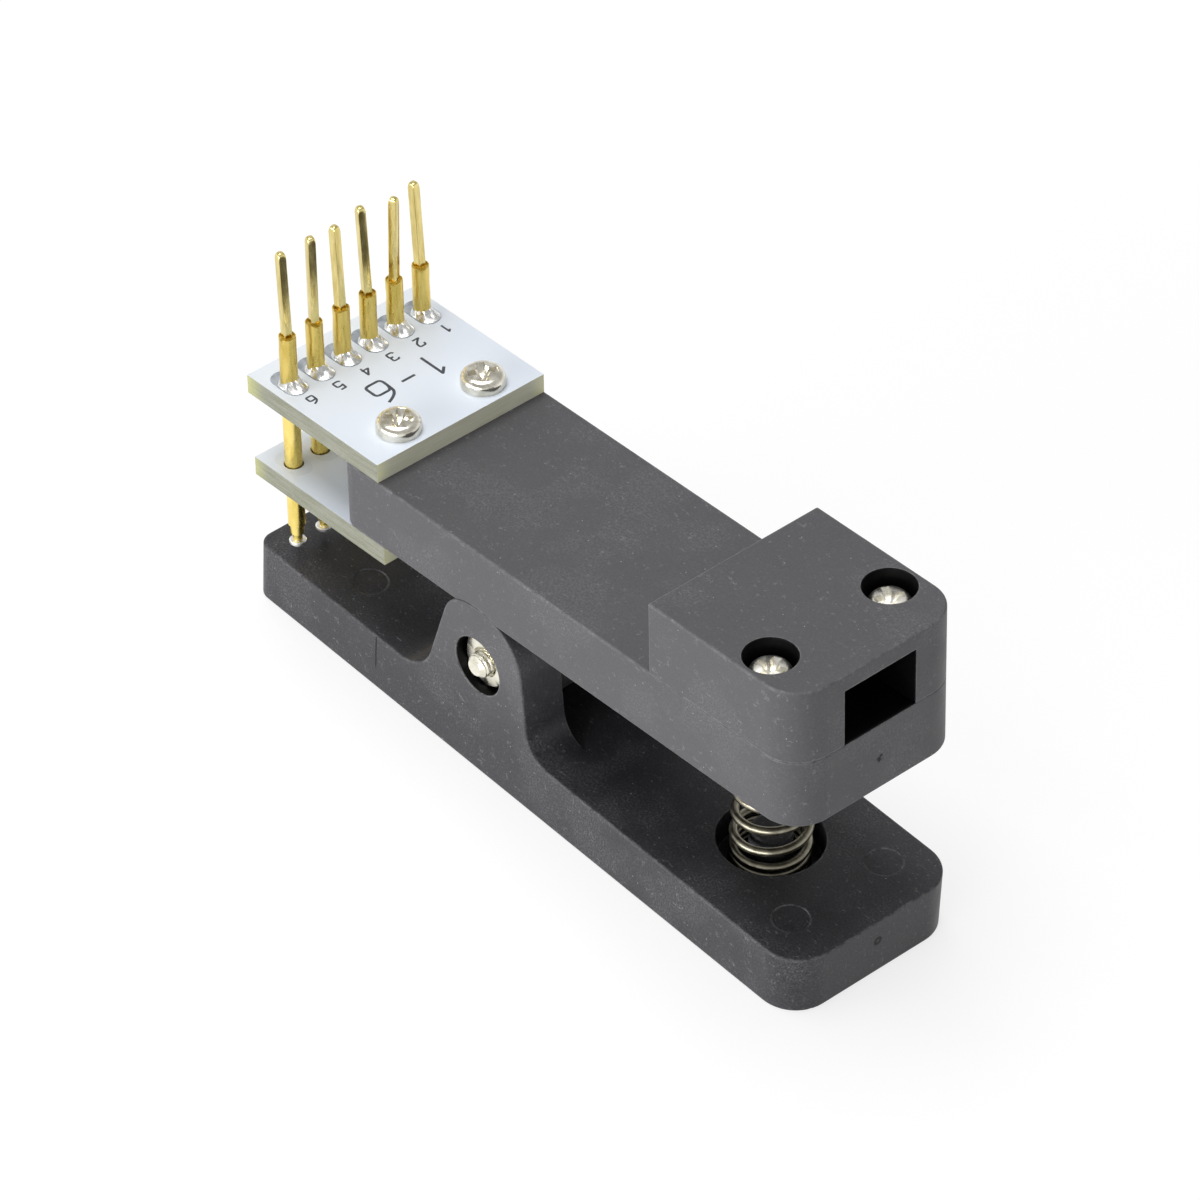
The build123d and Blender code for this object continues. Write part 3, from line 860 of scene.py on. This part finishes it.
def sleeve(number):
    """A thin sleeve, crimped near its uneven open top, with a plug inside it."""
    notch_width = 0.6
    dent_width = 0.38
    dent_reach = 0.55
    chance = random.Random(number)
    notch_angle = chance.uniform(-1.4, -0.2)
    notch_depth = chance.uniform(0.10, 0.22)
    waves = [(chance.uniform(0, tau), chance.uniform(0.01, 0.035)) for _ in range(3)]
    dents = []
    for side in (-1, 1, 2.2):
        dent_angle = notch_angle + side * chance.uniform(0.8, 1.6)
        dent_height = sleeve_top - chance.uniform(0.6, 1.9)
        dents.append((dent_angle, dent_height, chance.uniform(0.015, 0.05)))

    def rim(angle):
        drop = notch_depth * max(0.0, 1 - turn_between(angle, notch_angle) / notch_width)
        for count, (phase, depth) in enumerate(waves, start=2):
            drop += depth * (1 + sin(count * angle + phase)) / 2
        return sleeve_top - drop

    def crimp(angle, height):
        push = 0.0
        for dent_angle, dent_height, depth in dents:
            around = bell(turn_between(angle, dent_angle), dent_width)
            push += depth * around * bell(height - dent_height, dent_reach)
        return push

    def wall(radius, height):
        return lambda angle: radius - crimp(angle, height)

    steps = 56
    level_step = 0.2
    first_level = top_face - 1.0
    last_level = sleeve_top - 0.5
    level_count = int((last_level - first_level) / level_step)
    levels = [first_level + level_step * n for n in range(level_count)]
    plug_foot = sleeve_plug - 0.4
    rings = [
        [(0, 0, plug_foot)],
        ring(steps, sleeve_bore, plug_foot),
        ring(steps, sleeve_bore, sleeve_bottom + sleeve_chamfer),
        ring(steps, sleeve_bore + sleeve_chamfer, sleeve_bottom),
        ring(steps, sleeve_radius - sleeve_chamfer, sleeve_bottom),
        ring(steps, sleeve_radius, sleeve_bottom + sleeve_chamfer),
    ]
    rings += [ring(steps, wall(sleeve_radius, height), height) for height in levels]

    lip = sleeve_top - 0.4
    outer_round = 0.03
    inner_round = 0.02
    inner_drop = 0.04
    inner_limit = sleeve_plug + 0.2

    def outer_rim(angle):
        return rim(angle) - outer_round

    def inner_rim(angle):
        return min(rim(angle) - inner_drop, inner_limit)

    rings += [
        ring(steps, wall(sleeve_radius, lip), outer_rim),
        ring(steps, wall(sleeve_radius - outer_round, lip), rim),
        ring(steps, wall(sleeve_mouth + inner_round, lip), rim),
        ring(steps, wall(sleeve_mouth, lip), inner_rim),
        ring(steps, wall(sleeve_mouth - inner_round, lip), sleeve_plug),
        [(0, 0, sleeve_plug)],
    ]
    return mesh_of(rings)


def square_ring(half, corner, height):
    """Outline of a square with rounded corners."""
    arc_steps = 4
    inset = (half - corner) * sqrt(2)
    points = []
    for quarter in range(4):
        middle = pi / 2 * (quarter + 0.5)
        for step in range(arc_steps + 1):
            angle = pi / 2 * (quarter + step / arc_steps)
            x = inset * cos(middle) + corner * cos(angle)
            y = inset * sin(middle) + corner * sin(angle)
            points.append((x, y, height))
    return points


def square_post(rise):
    """A square post with a rounded tip. Height 0 is the middle of what the sleeve grips."""
    half = post_width / 2
    shoulder = post_grip / 2 + rise - post_tip_length
    extra_corner = 0.1
    tip_steps = 7
    rings = [[(0, 0, -post_grip / 2)], square_ring(half, post_corner, -post_grip / 2)]
    for step in range(tip_steps + 1):
        share = step / tip_steps
        width = post_tip_width / 2 + (half - post_tip_width / 2) * sqrt(1 - share**2)
        corner = post_corner + extra_corner * share
        rings.append(square_ring(width, corner, shoulder + post_tip_length * share))
    rings.append([(0, 0, shoulder + post_tip_length)])
    return mesh_of(rings)


for index, row in enumerate(probe_rows):
    number = index + 1
    add_piece(
        f"crimped_sleeve_{number}",
        [(sleeve(number), on_arm(-probe_reach, row, 0))],
        sleeve_look,
        "upper_half",
        f"probe_sleeve_{number}",
    )
    leaning = Matrix.Rotation(radians(post_leans[index]), 4, "Y")
    twisted = Matrix.Rotation(radians(post_twists[index]), 4, "Z")
    post_place = on_arm(-probe_reach, row, sleeve_top - post_grip / 2) @ leaning @ twisted
    add_piece(
        f"square_post_{number}",
        [(square_post(post_rises[index]), post_place)],
        post_look,
        "upper_half",
        f"wire_post_{number}",
        sharp=50,
    )

# Pads and solder


def stadium(angle, flat, radius):
    """Distance from the middle of a slot-shaped pad to its outline."""
    across = abs(sin(angle))
    along = abs(cos(angle))
    if radius * along <= flat * across:
        return radius / across
    return flat * along + sqrt(radius**2 - (flat * across) ** 2)


def pad():
    """A thin slot-shaped ring of tin round a sleeve."""

    def edge(inset):
        return lambda angle: stadium(angle, pad_flat, pad_radius - inset)

    steps = 72
    hole = sleeve_radius + 0.02
    sloped = 0.03
    return mesh_of(
        [
            ring(steps, hole, 0),
            ring(steps, edge(0), 0),
            ring(steps, edge(0), pad_thickness / 2),
            ring(steps, edge(sloped), pad_thickness),
            ring(steps, hole, pad_thickness),
        ],
        closed=True,
    )


def solder(seed):
    """A mound of solder, high on the arm's side of the sleeve and low on the other."""
    chance = random.Random(seed)
    ridge_count = chance.choice((7, 9, 11))
    phase = chance.uniform(0, tau)
    lean = chance.uniform(-0.4, 0.4)
    fullness = chance.uniform(0.85, 1.1)
    low_side = 0.14
    high_side = 0.38
    ridge_depth = 0.3
    foot_height = 0.06
    steepness = 1.4
    spread = 0.45
    inner = sleeve_radius - 0.03
    short = sleeve_radius + 0.22
    wetted_radius = pad_radius - 0.05

    def share(angle):
        forward = min(1, max(0, cos(angle - lean) + spread))
        return forward * forward * (3 - 2 * forward)

    def reach(angle):
        return short + share(angle) * (stadium(angle, pad_flat, wetted_radius) - short)

    def foot(across):
        if across == 0:
            return inner
        return lambda angle: sleeve_radius + across * (reach(angle) - sleeve_radius)

    def mound(across):
        halfway = 4 * across * (1 - across)

        def height(angle):
            peak = low_side + share(angle) * high_side * fullness
            wave = sin(ridge_count * angle + phase) * halfway * share(angle)
            ridged = peak * (1 - across) ** steepness * (1 + ridge_depth * wave)
            return ridged + foot_height * (1 - across**6)

        return height

    steps = 72
    layers = 9
    rings = [ring(steps, inner, 0)]
    for layer in range(layers):
        rings.append(ring(steps, foot(layer / layers), mound(layer / layers)))
    rings.append(ring(steps, reach, 0))
    return mesh_of(rings, closed=True)


board_sides = (("top_board", top_face, 1), ("lower_board", lower_face, -1))
for board, height, facing in board_sides:
    add_piece(
        f"{board}_tinned_pads",
        [(pad(), on_arm(-probe_reach, row, height, facing)) for row in probe_rows],
        pad_look,
        "upper_half",
        f"{board}_pads",
    )
    pad_top = height + facing * pad_thickness
    add_piece(
        f"{board}_solder_mounds",
        [
            (solder(10 * index + height), on_arm(-probe_reach, row, pad_top, facing))
            for index, row in enumerate(probe_rows)
        ],
        solder_look,
        "upper_half",
        f"{board}_solder",
        sharp=60,
    )

# Screws and nut

board_screw_turns = {"top_board": (38, 62), "lower_board": (12, 75)}
for board, height, facing in board_sides:
    shapes = []
    for side, turn in zip((-1, 1), board_screw_turns[board]):
        screw_place = on_arm(-board_screw_reach, side * board_screw_side, height, facing)
        for mesh in screw(board_head_radius, board_head_height, board_screw_length, turn):
            shapes.append((mesh, screw_place))
    add_piece(
        f"{board}_cross_screws", shapes, screw_look, "upper_half", f"{board}_screws"
    )

cover_screw_turns = (20, 64)
shapes = []
for side, turn in zip((-1, 1), cover_screw_turns):
    screw_place = on_arm(cover_screw_reach, side * cover_screw_side, cover_seat)
    for mesh in screw(cover_head_radius, cover_head_height, cover_screw_length, turn):
        shapes.append((mesh, screw_place))
add_piece(
    "cover_cross_screws", shapes, bright_screw_look, "upper_half", "cover_screws"
)

pivot_screw_turn = 30
pivot_recess_reach = 1.25
pivot_shapes = screw(
    pivot_head_radius, pivot_head_height, pivot_screw_length, pivot_screw_turn, pivot_recess_reach
)
head_place = place(pivot + Vector((0, pivot_seat * mm, 0)), (1, 0, 0), (0, 1, 0))
add_piece(
    "pivot_cross_screw",
    [(mesh, head_place) for mesh in pivot_shapes],
    nut_look,
    "lower_half",
    "pivot_screw",
)


def nut():
    """A hexagon nut, chamfered on both faces, with a countersunk hole."""
    steps = 72
    hole = 1.02
    sink = 0.2
    edge = 0.04
    chamfer_slope = 0.58
    rim = nut_flat - edge

    def hexagon(angle):
        return nut_flat / cos((angle + pi / 6) % (pi / 3) - pi / 6)

    def chamfer(angle):
        return (hexagon(angle) - nut_flat) * chamfer_slope + edge

    return mesh_of(
        [
            ring(steps, hole, sink),
            ring(steps, hole + sink, 0),
            ring(steps, rim, 0),
            ring(steps, hexagon, chamfer),
            ring(steps, hexagon, lambda angle: nut_thickness - chamfer(angle)),
            ring(steps, rim, nut_thickness),
            ring(steps, hole + sink, nut_thickness),
            ring(steps, hole, nut_thickness - sink),
        ],
        closed=True,
    )


nut_place = place(pivot + Vector((0, -pivot_seat * mm, 0)), (1, 0, 0), (0, -1, 0))
add_piece("hexagon_nut", [(nut(), nut_place)], nut_look, "lower_half", "pivot_nut")

# Return spring, whose length is shared out between its closed ends and its open middle

spring_rise = (spring_high.z - spring_low.z) / mm - 2 * spring_wire
open_rise = spring_rise - (spring_closed_turns + spring_last_turns) * spring_closed_pitch
spring_open_turns = open_rise / spring_open_pitch


def coil_height(turns):
    """Height of the wire's middle above the first, after that many turns."""
    closed_turns = min(turns, spring_closed_turns)
    open_turns = min(max(turns - spring_closed_turns, 0), spring_open_turns)
    last_turns = max(turns - spring_closed_turns - spring_open_turns, 0)
    return (closed_turns + last_turns) * spring_closed_pitch + open_turns * spring_open_pitch


def coil():
    """A coil whose pitch changes gradually between its closed ends and its open middle."""
    turns = spring_closed_turns + spring_open_turns + spring_last_turns
    steps_per_turn = 40
    steps = int(turns * steps_per_turn)
    sides = 12
    shifts = (-1, -0.5, 0, 0.5, 1)
    path = []
    for step in range(steps + 1):
        t = turns * step / steps
        nearby = [min(max(t + shift * spring_pitch_change, 0), turns) for shift in shifts]
        height = sum(coil_height(turn) for turn in nearby) / len(nearby)
        angle = radians(spring_start_angle) + tau * t
        path.append(Vector((spring_radius * cos(angle), spring_radius * sin(angle), height)))
    rings = []
    for step, middle in enumerate(path):
        way = (path[min(step + 1, steps)] - path[max(step - 1, 0)]).normalized()
        outward = Vector((middle.x, middle.y, 0)).normalized()
        outward = (outward - way * outward.dot(way)).normalized()
        side = way.cross(outward)
        section = []
        for n in range(sides):
            angle = tau * n / sides
            section.append(middle + (outward * cos(angle) + side * sin(angle)) * spring_wire)
        rings.append(section)
    return mesh_of([[path[0]]] + rings + [[path[-1]]])


spring_foot = Vector((spring_middle.x, spring_middle.y, spring_low.z + spring_wire * mm))
spring = add_piece(
    "closed_end_spring",
    [(coil(), place(spring_foot, (1, 0, 0), (0, 0, 1)))],
    spring_look,
    node="return_spring",
)
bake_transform(spring)

# Marks printed on the top board, each glyph drawn in strokes on a grid 1 wide and 1.6 high

glyph_height = 1.6
glyph_spacing = 1.5
glyphs = {
    "1": [[(0.2, 1.25), (0.55, 1.6), (0.55, 1.6), (0.55, 0)]],
    "2": [
        [
            (0.05, 1.15), (0.05, 1.6), (0.5, 1.6), (0.98, 1.6), (0.98, 1.1), (0.9, 0.75),
            (0, 0), (0, 0), (1, 0),
        ]
    ],
    "3": [
        [(0.05, 1.35), (0.1, 1.6), (0.5, 1.6), (0.95, 1.6), (0.95, 1.2), (0.95, 0.85), (0.5, 0.85)],
        [(0.5, 0.85), (1, 0.85), (1, 0.42), (1, 0), (0.5, 0), (0.1, 0), (0, 0.3)],
    ],
    "4": [[(0.8, 0), (0.8, 1.6), (0.8, 1.6), (0, 0.5), (0, 0.5), (1, 0.5)]],
    "5": [
        [
            (0.9, 1.6), (0.15, 1.6), (0.15, 1.6), (0.1, 0.85), (0.1, 0.85),
            (0.3, 1), (0.55, 1), (1, 1), (1, 0.5), (1, 0), (0.5, 0), (0.1, 0), (0, 0.25),
        ]
    ],
    "6": [
        [
            (0.85, 1.6), (0.1, 1.3), (0.05, 0.55), (0.05, 0), (0.5, 0), (1, 0),
            (1, 0.45), (1, 0.9), (0.5, 0.9), (0.1, 0.9), (0.05, 0.5),
        ]
    ],
    "-": [[(0.1, 0.8), (0.9, 0.8)]],
}


def stroke(points, width):
    """A flat rounded line along control points. A point given twice makes a corner."""
    line = bpy.data.curves.new("stroke", "CURVE")
    line.dimensions = "3D"
    spline = line.splines.new("NURBS")
    spline.points.add(len(points) - 1)
    for control, (x, y) in zip(spline.points, points):
        control.co = (x, y, 0, 1)
    spline.order_u = 3
    spline.use_endpoint_u = True
    spline.resolution_u = 6
    line.bevel_depth = width / 2
    line.bevel_resolution = 2
    line.use_fill_caps = True
    holder = bpy.data.objects.new("stroke", line)
    mesh = bpy.data.meshes.new_from_object(holder)
    bpy.data.objects.remove(holder)
    mesh.transform(Matrix.Diagonal((1, 1, 2 * print_thickness / width, 1)))
    return mesh


def printed(text, reach, side, height, width):
    """Strokes of a text read towards -Y, its middle at that place on the top board."""
    grid = height / glyph_height
    spacing = glyph_spacing * grid
    text_length = len(text) * spacing - (glyph_spacing - 1) * grid
    shapes = []
    for index, glyph in enumerate(text):
        left = side + text_length / 2 - index * spacing
        origin = pivot + (along_arm * reach + across_arm * left + out_of_arm * top_face) * mm
        for points in glyphs[glyph]:
            scaled = [(x * grid, y * grid - height / 2) for x, y in points]
            shapes.append((stroke(scaled, width), place(origin, -across_arm, out_of_arm)))
    return shapes


marks = printed("1-6", title_reach, title_side, title_height, title_line)
for number, row in enumerate(reversed(probe_rows), start=1):
    marks += printed(str(number), number_reach, row, number_height, number_line)
add_piece("pin_number_print", marks, ink_look, "upper_half")

# Floor, light and camera


def path_seen(look):
    """1 for what is seen, straight, mirrored or through glass, and 0 for what lights a surface."""
    path = look.add("LightPath").outputs
    return look.any_of(path["Is Camera Ray"], path["Is Glossy Ray"], path["Is Transmission Ray"])


def floor_look():
    """A pale floor that glows where it is seen and keeps the object's shadow, with its glow dimmed
    near the object as painted shade.
    """
    look = Look(bpy.data.materials.new("pale_floor"))
    seen = path_seen(look)
    colour = look.mix(seen, grey(floor_colour_lighting), grey(floor_colour_seen))
    diffuse = look.add("BsdfDiffuse", {"Color": colour})
    distance = look.vector("LENGTH", {0: look.millimetres()})["Value"]
    # Painted shade: the floor glows less near the object
    strength = look.ramp(distance, floor_near, floor_far, floor_glow_near, floor_glow_far)
    glow = look.add("Emission", {"Strength": look.times(seen, strength)})
    both = look.add("AddShader", {0: diffuse.outputs[0], 1: glow.outputs[0]})
    look.add("OutputMaterial", {"Surface": both.outputs[0]})
    return look.owner


floor_mesh = bpy.data.meshes.new("floor")
half = floor_size / 2
floor_mesh.from_pydata(
    [(-half, -half, 0), (half, -half, 0), (half, half, 0), (-half, half, 0)], [], [(0, 1, 2, 3)]
)
floor_mesh.materials.append(floor_look())
floor = bpy.data.objects.new("floor", floor_mesh)
bpy.context.scene.collection.objects.link(floor)

world = bpy.data.worlds.new("studio")
bpy.context.scene.world = world
sky = Look(world)
rise = sky.parts(sky.add("TexCoord").outputs["Generated"])[2]
seen_strength = sky.ramp(rise, world_dims_from, world_dims_to, world_level, world_overhead)
strength = sky.add(
    "Mix", {0: path_seen(sky), 2: world_for_surfaces, 3: seen_strength}, data_type="FLOAT"
).outputs[0]
background = sky.add("Background", {"Color": grey(1), "Strength": strength})
sky.add("OutputWorld", {"Surface": background.outputs[0]})


def add_softbox(name, origin, width, height, power):
    """A lamp that faces the object."""
    lamp = bpy.data.lights.new(name, "AREA")
    lamp.shape = "RECTANGLE"
    lamp.size = width
    lamp.size_y = height
    lamp.energy = power
    holder = bpy.data.objects.new(name, lamp)
    holder.location = origin
    holder.rotation_euler = (-Vector(origin)).to_track_quat("-Z", "Y").to_euler()
    bpy.context.scene.collection.objects.link(holder)


add_softbox("overhead_softbox", **overhead_softbox)
add_softbox("front_softbox", **front_softbox)

# The camera's own axes, from the direction it looks from
azimuth = radians(view_azimuth)
elevation = radians(view_elevation)
roll = radians(view_roll)
backward = Vector((sin(azimuth) * cos(elevation), -cos(azimuth) * cos(elevation), sin(elevation)))
level = Vector((cos(azimuth), sin(azimuth), 0))
upward = backward.cross(level)
right = level * cos(roll) + upward * sin(roll)
above = upward * cos(roll) - level * sin(roll)
eye = (Vector(view_foot) + backward * view_distance) * mm
camera = bpy.data.cameras.new("camera")
camera.lens = view_lens
camera.sensor_width = view_sensor
camera.clip_start = 0.01
holder = bpy.data.objects.new("camera", camera)
turned = Matrix((right, above, backward)).transposed().to_4x4()
holder.matrix_world = Matrix.Translation(eye) @ turned
bpy.context.scene.collection.objects.link(holder)
bpy.context.scene.camera = holder
bpy.context.scene.view_settings.view_transform = "Standard"
